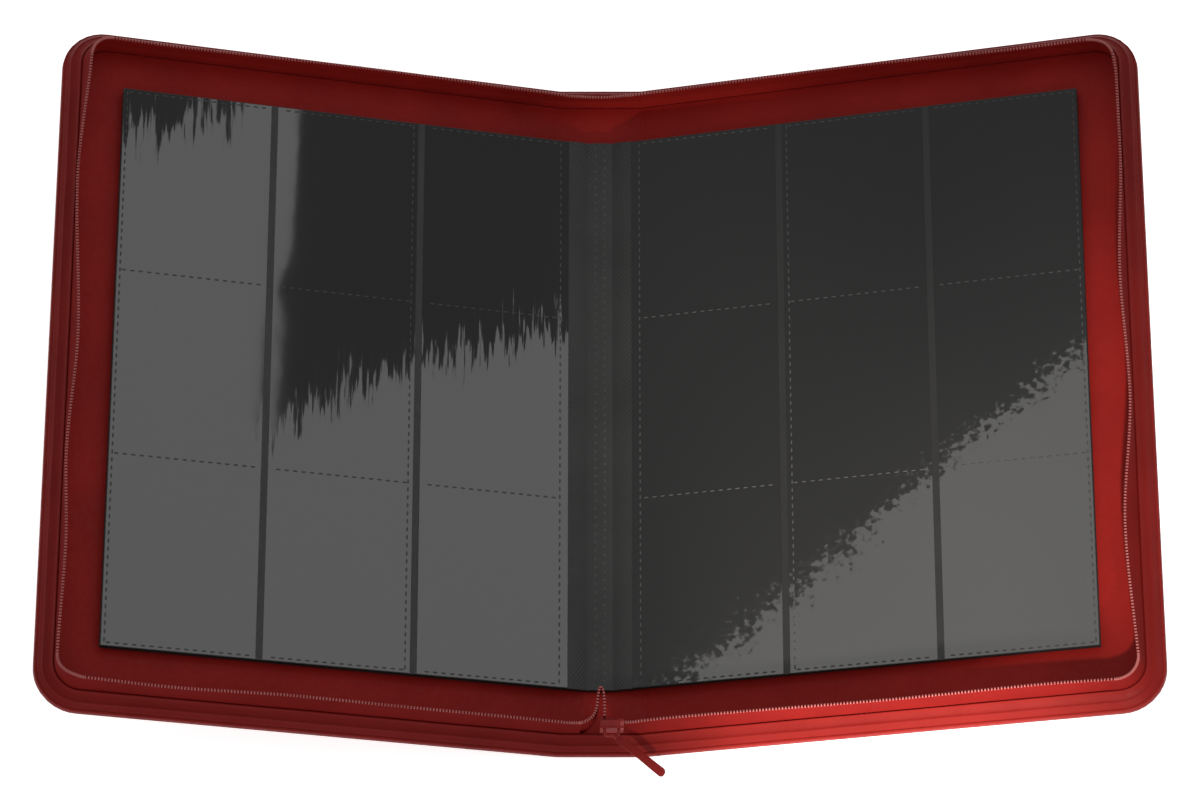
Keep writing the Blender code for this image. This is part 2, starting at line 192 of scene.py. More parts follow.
def mesh_object(name, points, faces, material, uv=None, sharp=50):
    """Smooth-shaded piece from points in millimetres; edges over sharp degrees stay crisp."""
    mesh = bpy.data.meshes.new(name)
    mesh.from_pydata((np.asarray(points) * MM).tolist(), [], faces)
    if uv is not None:
        layer = mesh.uv_layers.new(name="UVMap")
        corners = np.empty(len(mesh.loops), int)
        mesh.loops.foreach_get("vertex_index", corners)
        layer.data.foreach_set("uv", (np.asarray(uv) * MM)[corners].ravel())
    mesh.validate()
    mesh.shade_smooth()
    mesh.set_sharp_from_angle(angle=math.radians(sharp))
    mesh.materials.append(material)
    obj = link_new(name, mesh)
    outward(obj)
    return obj


def outward(obj):
    """Turns the faces out where the mesh was listed inside out."""
    work = bmesh.new()
    work.from_mesh(obj.data)
    if work.calc_volume(signed=True) < 0:
        bmesh.ops.reverse_faces(work, faces=work.faces)
        work.to_mesh(obj.data)
    work.free()


def line_inside(obj, size, inside, material):
    """Gives the ring faces inside[0] to inside[1] of a lofted wall or tape another material."""
    obj.data.materials.append(material)
    for face in obj.data.polygons:
        if face.loop_total == 4 and inside[0] <= face.index % size <= inside[1]:
            face.material_index = 1


def loft(name, rings, material, sharp=50, capped=True):
    """Closed solid through rings of points, an array (stations, ring points, 3)."""
    rings = np.asarray(rings, float)
    count, size = rings.shape[:2]
    faces = []
    for i in range(count - 1):
        a, b = i * size, (i + 1) * size
        for j in range(size):
            k = (j + 1) % size
            faces.append((a + j, a + k, b + k, b + j))
    if capped:
        faces.append(tuple(range(size))[::-1])
        faces.append(tuple(range((count - 1) * size, count * size)))
    steps = np.linalg.norm(np.diff(rings, axis=0), axis=2).mean(1)
    along = np.concatenate([[0], np.cumsum(steps)])
    uv = np.stack(np.meshgrid(along, distances(rings[0]), indexing="ij"), -1).reshape(-1, 2)
    return mesh_object(name, rings.reshape(-1, 3), faces, material, uv, sharp)


def bead(long, high, wide, power=0.6, around=10, levels=6):
    """Rounded bead centred on the origin, boxier for a smaller power: points and faces."""
    points, faces = [(0, 0, -high / 2)], []
    for i in range(1, levels):
        lat = -math.pi / 2 + math.pi * i / levels
        for j in range(around):
            lon = 2 * math.pi * j / around
            c, s = math.cos(lon), math.sin(lon)
            r = abs(math.cos(lat)) ** power
            points.append((
                long / 2 * r * math.copysign(abs(c) ** power, c),
                wide / 2 * r * math.copysign(abs(s) ** power, s),
                high / 2 * math.copysign(abs(math.sin(lat)) ** power, math.sin(lat)),
            ))
    points.append((0, 0, high / 2))
    last = len(points) - 1
    for j in range(around):
        k = (j + 1) % around
        faces.append((0, 1 + k, 1 + j))
        for i in range(levels - 2):
            a, b = 1 + i * around, 1 + (i + 1) * around
            faces.append((a + j, a + k, b + k, b + j))
        top = 1 + (levels - 2) * around
        faces.append((last, top + j, top + k))
    return np.array(points), faces


def scatter(name, template, centres, axes, material):
    """Copies of a template merged in one mesh; axes are the three unit vectors of each copy."""
    points, faces = template
    all_points = centres[:, None, :] + np.einsum("pk,ckd->cpd", points, axes)
    all_faces = [tuple(i + c * len(points) for i in f) for c in range(len(centres)) for f in faces]
    return mesh_object(name, all_points.reshape(-1, 3), all_faces, material, sharp=80)


def slab_ring(side, w, y, d, top, bottom):
    """Ring round a sheet at w: its top face along y, then its bottom face back."""
    return np.concatenate([place(side, w, y, top(w, y, d)), place(side, w, y, bottom(w, y, d))[::-1]])


PANEL_ROWS = 81
PANEL_COLUMNS = 70


def panel(side, inset, top, bottom, margins):
    """Rings across the cover, between top(w, y, d) and bottom(w, y, d), d being how far in a point is."""
    end = COVER_END - inset
    radius = CORNER - inset
    near = [end - gap for gap in margins]
    middle = np.linspace(COVER_START, end - margins[-1], PANEL_COLUMNS)
    widths = np.unique(np.concatenate([middle, near]))
    gaps = np.array(margins)
    rings = []
    for w in widths:
        over = max(w - (end - radius), 0)
        half = COVER_HALF - inset - radius + math.sqrt(max(radius ** 2 - over ** 2, 0))
        inner = np.linspace(-1, 1, PANEL_ROWS)[1:-1] * (half - margins[-1])
        y = np.concatenate([-half + gaps, inner, half - gaps[::-1]])
        d = np.maximum(corner_distance(w, y, inset), 0)
        rings.append(slab_ring(side, w, y, d, top, bottom))
    return rings


# Materials

GRAIN_LOW, GRAIN_HIGH = -0.08, 0.10  # how far a grain takes the roughness down and up


def set_inputs(node, **values):
    """Sets a node's own sockets; an underscore stands for a space in a socket's name."""
    for key, value in values.items():
        node.inputs[key.replace("_", " ")].default_value = value


def add_node(nodes, kind, **values):
    node = nodes.new("ShaderNode" + kind)
    set_inputs(node, **values)
    return node


def new_material(name, color, roughness, **settings):
    """Material with its shader's own values set, and what its nodes are built from."""
    material = bpy.data.materials.new(name)
    material.use_nodes = True
    nodes, links = material.node_tree.nodes, material.node_tree.links
    shader = nodes["Principled BSDF"]
    set_inputs(shader, Base_Color=(*color, 1), Roughness=roughness, **settings)
    where = nodes.new("ShaderNodeTexCoord").outputs["Object"]
    return material, nodes, links, shader, where


def noise(nodes, links, where, scale, detail=3.0, stretch=(1, 1, 1)):
    """Noise value; a stretch below 1 on an axis draws it out along that axis."""
    mapping = add_node(nodes, "Mapping", Scale=stretch)
    links.new(where, mapping.inputs["Vector"])
    node = add_node(nodes, "TexNoise", Scale=scale, Detail=detail)
    links.new(mapping.outputs["Vector"], node.inputs["Vector"])
    return node.outputs["Fac"]


def cells(nodes, links, where, scale):
    """Rounded pebbles, as the distance from their centres."""
    node = add_node(nodes, "TexVoronoi", Scale=scale)
    node.feature = "SMOOTH_F1"
    links.new(where, node.inputs["Vector"])
    return node.outputs["Distance"]


def vary(nodes, links, shader, value, socket, low, high, start=0.3, end=0.7):
    """Drives a shader's colour or number from low to high as value goes from start to end."""
    if socket == "Base Color":
        ramp = nodes.new("ShaderNodeValToRGB")
        ramp.color_ramp.elements[0].position = start
        ramp.color_ramp.elements[1].position = end
        ramp.color_ramp.elements[0].color = (*low, 1)
        ramp.color_ramp.elements[1].color = (*high, 1)
        links.new(value, ramp.inputs["Fac"])
        links.new(ramp.outputs["Color"], shader.inputs[socket])
        return
    span = add_node(nodes, "MapRange", From_Min=start, From_Max=end, To_Min=low, To_Max=high)
    links.new(value, span.inputs["Value"])
    links.new(span.outputs["Result"], shader.inputs[socket])


def bump(nodes, links, shader, heights):
    """Stacks bumps on the shader's normal; heights are (value, distance in metres)."""
    normal = None
    for value, distance in heights:
        node = add_node(nodes, "Bump", Strength=1.0, Distance=distance)
        links.new(value, node.inputs["Height"])
        if normal is not None:
            links.new(normal, node.inputs["Normal"])
        normal = node.outputs["Normal"]
    links.new(normal, shader.inputs["Normal"])


def leatherette(name, dark, light, roughness, grain=1100.0, depth=0.00007):
    """Coated leather-like sheet: broad dents, fine creases and a pebbled grain."""
    material, nodes, links, shader, where = new_material(name, light, roughness, Specular_IOR_Level=0.08)
    broad = noise(nodes, links, where, 30.0, 5.0)
    pebble = cells(nodes, links, where, grain)
    creases = noise(nodes, links, where, 420.0, 4.0)
    vary(nodes, links, shader, broad, "Base Color", dark, light)
    vary(nodes, links, shader, creases, "Roughness", roughness + GRAIN_LOW, roughness + GRAIN_HIGH)
    bump(nodes, links, shader, [(broad, 0.0006), (creases, depth * 1.6), (pebble, depth)])
    return material


def webbing(name, dark, light):
    """Woven tape, with its yarns drawn out across the sheet."""
    material, nodes, links, shader, where = new_material(name, light, 0.8, Specular_IOR_Level=0.05)
    yarn = noise(nodes, links, where, 900.0, 2.0, (1, 1, 0.35))
    broad = noise(nodes, links, where, 45.0, 3.0)
    vary(nodes, links, shader, broad, "Base Color", dark, light)
    bump(nodes, links, shader, [(broad, 0.0004), (yarn, 0.00012)])
    return material


def black_plastic(name, dark, light, roughness, grain, depth, **settings):
    """Matt plastic sheet with a fine grain."""
    material, nodes, links, shader, where = new_material(name, light, roughness, **settings)
    fine = noise(nodes, links, where, grain, 4.0)
    broad = noise(nodes, links, where, 22.0, 4.0)
    vary(nodes, links, shader, broad, "Base Color", dark, light)
    vary(nodes, links, shader, fine, "Roughness", roughness + GRAIN_LOW, roughness + GRAIN_HIGH)
    bump(nodes, links, shader, [(fine, depth)])
    return material


def diamond_plastic():
    """Gutter plastic, embossed with small diamonds by two slanted sets of grooves."""
    material, nodes, links, shader, where = new_material(
        "gutter_plastic", (0.035, 0.035, 0.035), 0.5, Specular_IOR_Level=0.25)
    heights = []
    for slant in (35, -35):
        mapping = add_node(nodes, "Mapping", Rotation=(0, 0, math.radians(slant)))
        links.new(where, mapping.inputs["Vector"])
        wave = add_node(nodes, "TexWave", Scale=210.0)
        links.new(mapping.outputs["Vector"], wave.inputs["Vector"])
        heights.append((wave.outputs["Fac"], 0.00008))
    broad = noise(nodes, links, where, 25.0)
    vary(nodes, links, shader, broad, "Base Color", (0.014, 0.014, 0.014), (0.022, 0.022, 0.022))
    bump(nodes, links, shader, heights)
    return material


def push(nodes, links, value, strength, axis):
    """A small vector along one axis, from a value around 0.5."""
    span = add_node(nodes, "MapRange", To_Min=-strength, To_Max=strength)
    links.new(value, span.inputs["Value"])
    vector = nodes.new("ShaderNodeCombineXYZ")
    links.new(span.outputs["Result"], vector.inputs[axis])
    return vector.outputs["Vector"]


def clear_film(name, pushes, roughness, **settings):
    """Glossy film over the black page, made opaque and black.

    Each push tilts the surface along an axis: (noise scale, detail, stretch, strength, axis).
    """
    color = (0.012, 0.012, 0.012)
    material, nodes, links, shader, where = new_material(name, color, roughness, **settings)
    normal = nodes.new("ShaderNodeNewGeometry").outputs["Normal"]
    for scale, detail, stretch, strength, axis in pushes:
        value = noise(nodes, links, where, scale, detail, stretch)
        add = nodes.new("ShaderNodeVectorMath")
        links.new(normal, add.inputs[0])
        links.new(push(nodes, links, value, strength, axis), add.inputs[1])
        normal = add.outputs["Vector"]
    length_one = nodes.new("ShaderNodeVectorMath")
    length_one.operation = "NORMALIZE"
    links.new(normal, length_one.inputs[0])
    links.new(length_one.outputs["Vector"], shader.inputs["Normal"])
    smear = noise(nodes, links, where, 14.0, 3.0, (1, 0.3, 1))
    vary(nodes, links, shader, smear, "Roughness", roughness * 0.8, roughness * 1.4)
    return material


def metal(name, dark, light, roughness):
    """Metal under red paint, with a little wear."""
    material, nodes, links, shader, where = new_material(name, light, roughness, Specular_IOR_Level=0.1)
    wear = noise(nodes, links, where, 260.0, 5.0)
    vary(nodes, links, shader, wear, "Base Color", dark, light)
    vary(nodes, links, shader, wear, "Roughness", roughness - GRAIN_HIGH, roughness + GRAIN_HIGH)
    bump(nodes, links, shader, [(wear, 0.00004)])
    return material


SKIN = leatherette("outer_leatherette", (0.150, 0.0075, 0.0060), (0.195, 0.0105, 0.0085), 0.5,
                   700.0, 0.00012)
LINING = leatherette("lining_leatherette_fine", (0.225, 0.0095, 0.0070), (0.280, 0.0125, 0.0095), 0.62)
WALL = leatherette("wall_leatherette_fine", (0.138, 0.0058, 0.0042), (0.168, 0.0080, 0.0062), 0.52)
PULL = leatherette("pull_leatherette_fine", (0.155, 0.0085, 0.0070), (0.190, 0.0110, 0.0095), 0.55)
FOAM = leatherette("foam_grey", (0.2, 0.2, 0.2), (0.3, 0.3, 0.3), 0.9)
BOARD = leatherette("board_grey", (0.22, 0.21, 0.19), (0.3, 0.28, 0.25), 0.85)
INSIDE = leatherette("inside_leatherette_fine", (0.270, 0.0110, 0.0080), (0.330, 0.0150, 0.0110), 0.65)
TAPE = webbing("zip_webbing_red", (0.128, 0.0050, 0.0040), (0.152, 0.0066, 0.0054))
# Zip teeth: partly their own lighter nylon, partly a painted highlight; the pale pink base colour stands
# in for the shine on each coil turn.
TEETH = leatherette("zip_teeth_nylon_painted_highlight", (0.32, 0.090, 0.084), (0.42, 0.130, 0.122), 0.4)
PAGE = black_plastic("page_black", (0.010, 0.010, 0.010), (0.014, 0.014, 0.014), 0.5, 900.0, 0.00004,
                     Specular_IOR_Level=0.3)
DASH = black_plastic("weld_grey", (0.056, 0.056, 0.056), (0.072, 0.072, 0.072), 0.8, 700.0, 0.00004,
                     Specular_IOR_Level=0.1)
GUTTER = diamond_plastic()
FILM = {
    -1: clear_film("film_left", (
        (620.0, 2.0, (1, 0.07, 1), 0.020, "Y"), (130.0, 1.0, (1, 0.12, 1), 0.008, "Y"),
        (240.0, 1.0, (1, 0.4, 1), 0.0008, "X")), 0.03, Specular_IOR_Level=0.25),
    1: clear_film("film_right", (
        (330.0, 1.5, (1, 1, 1), 0.013, "Y"), (300.0, 1.5, (1, 1, 1), 0.009, "X"),
        (60.0, 1.0, (1, 1, 1), 0.004, "Y")), 0.03, Specular_IOR_Level=0.25,
        Coat_Weight=0.10, Coat_Roughness=0.28),
}
# Painted highlight: a lighter, pinker coating for the slider's lip, standing in for the shine on its right
# end.
COATED_HIGHLIGHT = metal("coated_zinc_painted_highlight", (0.30, 0.045, 0.040), (0.40, 0.080, 0.072), 0.4)
COATED = metal("coated_zinc", (0.17, 0.0110, 0.0095), (0.23, 0.0160, 0.0140), 0.45)


# Covers

SKIN_MARGINS = (0, 0.12, 0.35, 0.7, 1.1, 1.5, 2.2, 4)  # rows of points this far in from the outline
LINING_MARGINS = (0, 0.3, 0.8, 2, 4)
TOP_ROLL = 1.0
BOTTOM_ROLL = 1.5
LINING_INSET = 9.9
LINING_THICK = 0.6


def rolled(d, radius):
    """How far a rolled edge falls back at distance d from the outline."""
    t = np.clip(1 - d / radius, 0, 1)
    return radius * (1 - np.sqrt(1 - t * t))


def skin_top(w, y, d):
    """A narrow raised rim, then a step down under the wall and the board."""
    return 0.15 - rolled(d, TOP_ROLL) - 0.9 * smooth((d - 1.3) / 1.2)


def skin_bottom(w, y, d):
    """Outside face: rolled at its edge, puffed and a little uneven over its foam."""
    puff = 0.30 * smooth(d / 25) + 0.12 * np.sin(w / 31 + 1) * np.sin(y / 43) * smooth(d / 30)
    return -4.75 - puff * smooth((w - COVER_START) / 30) + rolled(d, BOTTOM_ROLL)


def lining_top(w, y, d):
    """Slightly slack lining, puckered along its sewn edge."""
    puckers = 0.10 * np.sin(y / 7.5 + 2.2 * np.sin(w / 23)) * np.exp(-d / 9)
    waves = 0.06 * np.sin(w / 17 + y / 39) + 0.05 * np.sin(y / 21 - w / 33)
    return 0.02 + (waves + puckers) * smooth(d / 3) * smooth((w - 22) / 10)


def underside(top):
    """Lower face of a lining with the given upper face."""
    return lambda w, y, d: top(w, y, d) - LINING_THICK


WALL_PROFILE = (  # (inset, height) round the section: outside with its two pipings, then the inside
    (1.10, -0.30), (1.30, 0.55), (1.90, 1.40), (2.60, 2.20), (3.02, 2.80), (3.18, 3.28), (3.50, 3.55),
    (3.95, 3.62), (4.50, 3.86), (5.20, 4.40), (6.00, 5.10), (6.80, 5.92), (7.05, 6.38), (7.25, 6.90),
    (7.60, 7.18), (8.00, 7.10), (8.20, 6.55), (8.80, 6.50), (9.25, 3.00), (9.50, 0.10), (9.45, -0.30))
WALL_INSIDE = (17, 19)  # the faces of the section that the lining leatherette covers
CREASE_PLACE = 22.0  # the fold line beside the spine
CREASE_WIDTH = 0.9
CREASE_DEPTH = {-1: 0.05, 1: 0.14}


def crease(w):
    """Share of the fold's depth at w."""
    return np.exp(-((w - CREASE_PLACE) / CREASE_WIDTH) ** 2)


def wall_rings(side, u):
    """Sections of the soft wall at distances u along the rim."""
    inset = np.array([p[0] for p in WALL_PROFILE])
    height = np.array([p[1] for p in WALL_PROFILE])
    slack = 0.10 * np.sin(u / 19 + side) + 0.07 * np.sin(u / 7.3)
    fold = CREASE_DEPTH[side] * crease(rim(u)[0])
    share = np.clip(height / 7, 0, 1)
    soft = np.sin(np.pi * np.clip((height - 0.5) / 6.5, 0, 1)) ** 2
    n = height[None, :] - (fold[:, None] + slack[:, None] * 0.8) * share[None, :]
    d = inset[None, :] + (slack[:, None] + fold[:, None] * 0.5) * soft[None, :]
    return rim_point(side, u[:, None], d, n)


SOFT_EDGE = 60  # degrees: folds are shaded smooth up to this angle
TAPE_RING = 14  # points round the tape's section
TAPE_INSIDE = (7, 12)  # the faces of the section that look into the binder


def tape_section(lean, rib):
    """The tape's closed section, from its foot to the teeth: (inset, height) rows."""
    foot_d, foot_n = TAPE_FOOT
    t = np.array([0, 0.18, 0.4, 0.62, 0.82, 0.95, 1.0])
    outer_d = foot_d + (lean - 0.45 - foot_d) * t ** 1.15
    height = foot_n + (TEETH_HEIGHT - 0.2 - foot_n) * t
    thick = np.array([0.6, 0.8, 0.85, 0.85, 0.85, 0.8, 0.5])
    ribbed = rib * np.array([0, 0.4, 0.8, 1, 1, 1, 0.4])
    outer = np.stack([outer_d - ribbed, height], -1)
    inner = np.stack([outer_d + thick + ribbed, height - 0.1], -1)
    return np.concatenate([outer, inner[::-1]])


def tape_rings(side, u):
    """Sections of the zip tape at distances u along the rim, ribbed across at the pitch of the teeth."""
    lean = wander(side, u)
    rib = np.where(np.arange(len(u)) % 2 == 0, 0.06, -0.04)
    sections = np.array([tape_section(a, b) for a, b in zip(lean, rib)])
    return rim_point(side, u[:, None], sections[:, :, 0], sections[:, :, 1])


TOOTH = bead(0.80, 1.1, 1.35)


def teeth_along(name, points, up, material):
    """Teeth at points along a line; up is the direction of their height."""
    ahead = unit(np.gradient(points, axis=0))
    across = unit(np.cross(up, ahead))
    axes = np.stack([ahead, across, np.cross(ahead, across)], 1)
    return scatter(name, TOOTH, points, axes, material)


def stations(start, end, step):
    return np.linspace(start, end, max(int(round((end - start) / step)), 2) + 1)


def rim_wall(name, side, start, end, step):
    """Soft wall along the rim from start to end, lined inside."""
    wall = loft(name, wall_rings(side, stations(start, end, step)), WALL, SOFT_EDGE)
    line_inside(wall, len(WALL_PROFILE), WALL_INSIDE, LINING)
    return wall


def rim_tape(name, side, start, end):
    """Zip tape along the rim from start to end, lined inside."""
    tape = loft(name, tape_rings(side, stations(start, end, TOOTH_PITCH / 2)), TAPE, SOFT_EDGE)
    line_inside(tape, TAPE_RING, TAPE_INSIDE, INSIDE)
    return tape


def rim_teeth(name, side, start, end):
    """Zip teeth along the rim from start to end, one a pitch."""
    u = stations(start, end, TOOTH_PITCH)[:-1] + TOOTH_PITCH / 2
    points = rim_point(side, u, wander(side, u), np.full(len(u), TEETH_HEIGHT))
    below = rim_point(side, u, wander(side, u), np.full(len(u), TEETH_HEIGHT - 2))
    return teeth_along(name, points, points - below, TEETH)


WALL_STEP = 2.0
SPAN_START, SPAN_END = 10.0, RIM_LENGTH - 10.0  # the stretch of the rim that belongs to the cover


def build_cover(side, body):
    skin = loft(body + "_padded_skin", panel(side, 0.0, skin_top, skin_bottom, SKIN_MARGINS), SKIN)
    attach(skin, body)
    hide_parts(body + "_skin")

    lining = loft(body + "_lining_sheet", panel(
        side, LINING_INSET, lining_top, underside(lining_top), LINING_MARGINS), LINING)
    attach(lining, body)
    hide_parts(body + "_lining")

    wall = rim_wall(body + "_piped_wall", side, SPAN_START, SPAN_END, WALL_STEP)
    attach(wall, body)
    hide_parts(body + "_gusset")

    tape = rim_tape(body + "_ribbed_tape", side, SPAN_START, SPAN_END)
    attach(tape, body)
    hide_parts(body + "_zip_tape")

    teeth = rim_teeth(body + "_zip_teeth", side, SPAN_START, SPAN_END)
    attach(teeth, body)
    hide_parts(body + "_zip_coil")


# Spine

STRIP_START = 12.6  # the hinge strip reaches from here
STRIP_END = 27.6  # to here, just over the edge of the cover's own skin
SPINE_MARGINS = (0, 0.15, 0.4, 0.8, 1.3, 2.2, 4)
STRIP_ROWS = 61


def strip_rings(side, w0, w1, count, half, top, bottom):
    """Rings of a strip along the spine, from w0 to w1 outward, with softly rolled ends."""
    gaps = np.array(SPINE_MARGINS)
    inner = np.linspace(-1, 1, STRIP_ROWS)[1:-1] * (half - SPINE_MARGINS[-1])
    y = np.concatenate([-half + gaps, inner, half - gaps[::-1]])
    return [slab_ring(side, w, y, half - np.abs(y), top, bottom) for w in np.linspace(w0, w1, count)]


def spine_bottom(w, y, d):
    """Outside face of the spine, with a shallow groove along each hinge strip."""
    return -4.95 + rolled(d, BOTTOM_ROLL) + 0.12 * smooth((w - 14) / 6) * smooth((27 - w) / 6)


def flat_top(w, y, d):
    return 0.02 + 0.06 * np.sin(y / 14)


def crease_top(w, y, d):
    return flat_top(w, y, d) - 0.15 * crease(w)


SPINE_RINGS = 7  # on each side of the middle
STRIP_RINGS = 22
CREASE_RINGS = 30


def across_spine(name, half, top, bottom, material):
    """A piece across the whole flat spine, its rings from left to right."""
    left, right = (strip_rings(side, 0, STRIP_START, SPINE_RINGS, half, top, bottom) for side in (-1, 1))
    return loft(name, left[::-1] + right[1:], material)


def blend_over(piece):
    """Bakes the piece's transform into its mesh."""
    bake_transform(piece)


def build_spine():
    skin = across_spine("spine_padded_skin", COVER_HALF, skin_top, spine_bottom, SKIN)
    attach(skin, "spine")
    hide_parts("spine_skin")
    half = COVER_HALF - LINING_INSET
    lining = across_spine("spine_lining_sheet", half, flat_top, underside(flat_top), LINING)
    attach(lining, "spine")
    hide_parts("spine_lining")
    for side, word, body in SIDES:
        outer = loft(f"hinge_strip_{word}", strip_rings(
            side, STRIP_START, STRIP_END, STRIP_RINGS, COVER_HALF, skin_top, spine_bottom), SKIN)
        inner = loft(f"hinge_lining_{word}", strip_rings(
            side, STRIP_START, STRIP_END, CREASE_RINGS, half, crease_top, underside(crease_top)), LINING)
        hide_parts("hinge_crease_" + word)
        for piece in (outer, inner):
            blend_over(piece)


def ribbon(name, route, low, high, thick, material):
    """A standing strip of tape along a route of (x, y) points, between two heights."""
    route = np.array(route, float)
    ahead = unit(np.gradient(route, axis=0))
    across = np.stack([-ahead[:, 1], ahead[:, 0]], -1)
    rings = []
    for i, (point, normal) in enumerate(zip(route, across)):
        rib = 0.04 if i % 2 else -0.04
        wide = thick / 2 + rib
        z = np.linspace(low[i], high[i], 6)
        rings.append([(*(point + normal * wide), h) for h in z]
                     + [(*(point - normal * wide), h) for h in z[::-1]])
    return loft(name, rings, material, SOFT_EDGE)


def curve_through(marks, step):
    """Smooth evenly spaced points through marks, by Catmull-Rom."""
    marks = np.array(marks, float)
    padded = np.concatenate([[2 * marks[0] - marks[1]], marks, [2 * marks[-1] - marks[-2]]])
    fine = []
    for a, b, c, d in zip(padded, padded[1:], padded[2:], padded[3:]):
        for t in np.linspace(0, 1, 24, endpoint=False):
            fine.append(0.5 * (2 * b + (c - a) * t + (2 * a - 5 * b + 4 * c - d) * t ** 2
                               + (3 * b - a - 3 * c + d) * t ** 3))
    fine.append(marks[-1])
    fine = np.array(fine)
    run = distances(fine)
    even = np.linspace(0, run[-1], max(int(run[-1] / step), 2) + 1)
    return np.stack([np.interp(even, run, fine[:, k]) for k in range(fine.shape[1])], -1)


# The two standing ends of the tape over the spine: (x, y, foot, top) along each
LEFT_TURN = ((-10.4, -165.55, 7.4, 22.4), (-7.6, -165.2, 8.6, 22.9), (-5.2, -164.1, 11, 23.4),
             (-3.3, -162.5, 13, 23.9), (-2.1, -160.4, 15, 24.3), (-1.3, -157.6, 17, 24.7),
             (-0.95, -153.6, 17.6, 24.9), (-0.45, -150.0, 18.0, 24.9), (0.1, -148.6, 18.6, 24.6))
RIGHT_FIN = ((2.15, -163.2, 17.6, 24.6), (2.2, -158.5, 17.6, 24.9), (1.95, -153.6, 17.6, 24.9),
             (1.45, -150.0, 18.0, 24.9), (0.75, -148.6, 18.6, 24.6))


SPINE_ENDS = (("bottom", -SPINE_HALF, SPAN_START), ("top", SPAN_END, RIM_LENGTH + SPINE_HALF))
TAPE_GAP = 10.4  # the bottom tapes stop this far from the middle, where the zip's end stands
END_STEP = 1.0


def build_spine_ends():
    """Soft wall, tape and teeth across both ends of the spine, in halves that meet in the middle."""
    for side, word, body in SIDES:
        for end, first, last in SPINE_ENDS:
            wall = rim_wall(f"spine_wall_{end}_{word}", side, first, last, END_STEP)
            if end == "bottom":
                first = -SPINE_HALF + TAPE_GAP
            tape = rim_tape(f"spine_tape_{end}_{word}", side, first, last)
            teeth = rim_teeth(f"spine_teeth_{end}_{word}", side, first, last)
            for piece in (wall, tape, teeth):
                blend_over(piece)
            if side < 0:
                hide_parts("spine_gusset_" + end)
                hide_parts("spine_zip_tape_" + end)


TAIL_THICK = 0.8


def build_tail():
    """The closed end of the zip: the left tape turns in and stands over the spine beside the right one."""
    for word, marks in (("left", LEFT_TURN), ("right", RIGHT_FIN)):
        line = curve_through(marks, TOOTH_PITCH / 2)
        fin = ribbon("zip_tail_" + word, line[:, :2], line[:, 2], line[:, 3], TAIL_THICK, TAPE)
        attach(fin, "spine")
        if word == "left":
            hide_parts("zip_tail")
        spots = line[1::2]
        points = np.stack([spots[:, 0], spots[:, 1], spots[:, 3]], -1)
        up = np.broadcast_to(np.array([0.0, 0.0, 1.0]), points.shape)
        teeth = teeth_along(f"zip_tail_{word}_teeth", points, up, TEETH)
        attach(teeth, "spine")


# Pages

LEAF_GRID = (24, 25)  # rings across the leaf, and points along each
FILM_GRID = (56, 97)
GUTTER_GRID = (14, 73)
LEAVES_BELOW = 9
LEAF_DEPTH = 0.70  # depth of the second leaf
LEAF_PITCH = 0.31
LEAF_THICK = 0.2
CORE_DEPTH = 0.22
CORE_THICK = 0.22
FILM_DEPTH = {"front": 0.05, "back": 0.50}
FILM_THICK = 0.1
WELD_DEPTH = {"front": 0.0, "back": 0.62, "second": 0.71}


def sheet_rings(side, s0, s1, half, top, thick, grid, wave):
    """Rings of a leaf or film: top depth m, thickness, and wave(s, y) added to the depth of both faces."""
    rings = []
    columns, rows = grid
    y = np.linspace(-half, half, rows)
    for s in np.linspace(s0, s1, columns):
        lift = wave(s, y)
        upper, lower = page(side, s, y, top + lift), page(side, s, y, top + thick + lift)
        rings.append(np.concatenate([upper, lower[::-1]]))
    return np.array(rings)


def leaf_wave():
    """A faint wave of a leaf's own, stronger towards its fore-edge."""
    shift = random.uniform(-1.5, 1.5, 2)

    def wave(s, y):
        edge = smooth((s - 150) / 80)
        return 0.04 * np.sin(y / 37 + shift[0]) * edge + 0.03 * np.sin(s / 29 + shift[1])
    return wave


def build_leaves(side, word):
    """The slightly uneven leaves below the top page."""
    for index in range(LEAVES_BELOW):
        label = f"{word}_{index + 2:02d}"
        end = PAGE_END + random.uniform(-0.35, 0.1)
        half = PAGE_HALF + random.uniform(-0.3, 0.05)
        rings = sheet_rings(side, PAGE_START, end, half, LEAF_DEPTH + LEAF_PITCH * index, LEAF_THICK,
                            LEAF_GRID, leaf_wave())
        leaf = loft("leaf_" + label, rings, FILM[side] if index == 0 else PAGE)
        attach(leaf, word + "_pages")
        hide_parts("page_" + label)
    build_dashes(side, word, "second", word + "_pages")


def film_wave(side, start, end):
    """The film swells over each pocket and is held flat along the welds."""
    def wave(s, y):
        across = np.sin(np.pi * np.clip((s - start) / (end - start), 0, 1))
        pocket = np.abs(np.sin(np.pi * (y - POCKET_ROW / 2) / POCKET_ROW))
        ripple = 0.004 * np.sin(s / 3.7 + 0.6 * np.sin(y / 31)) + 0.006 * np.sin(s / 9.1 + y / 60 + side)
        return -(0.03 * across + ripple) * np.minimum(pocket * 2, 1)
    return wave


def build_films(side, word, face, body):
    """Three strips of film on one face of the top page, with slits between them."""
    starts = [PAGE_START + 0.2] + [slit + SLIT_WIDTH / 2 for slit in SLITS]
    ends = [slit - SLIT_WIDTH / 2 for slit in SLITS] + [PAGE_END - 0.3]
    for place_word, start, end in zip(("inner", "middle", "outer"), starts, ends):
        bulge = film_wave(side, start, end)
        wave = bulge if face == "front" else (lambda s, y, b=bulge: -b(s, y) * 0.4)
        film = loft(f"film_{word}_{face}_{place_word}", sheet_rings(
            side, start, end, PAGE_HALF - 0.3, FILM_DEPTH[face], FILM_THICK, FILM_GRID, wave),
            FILM[side], SOFT_EDGE)
        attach(film, body)
        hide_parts(f"page_{word}_top_film_{face}_{place_word}")


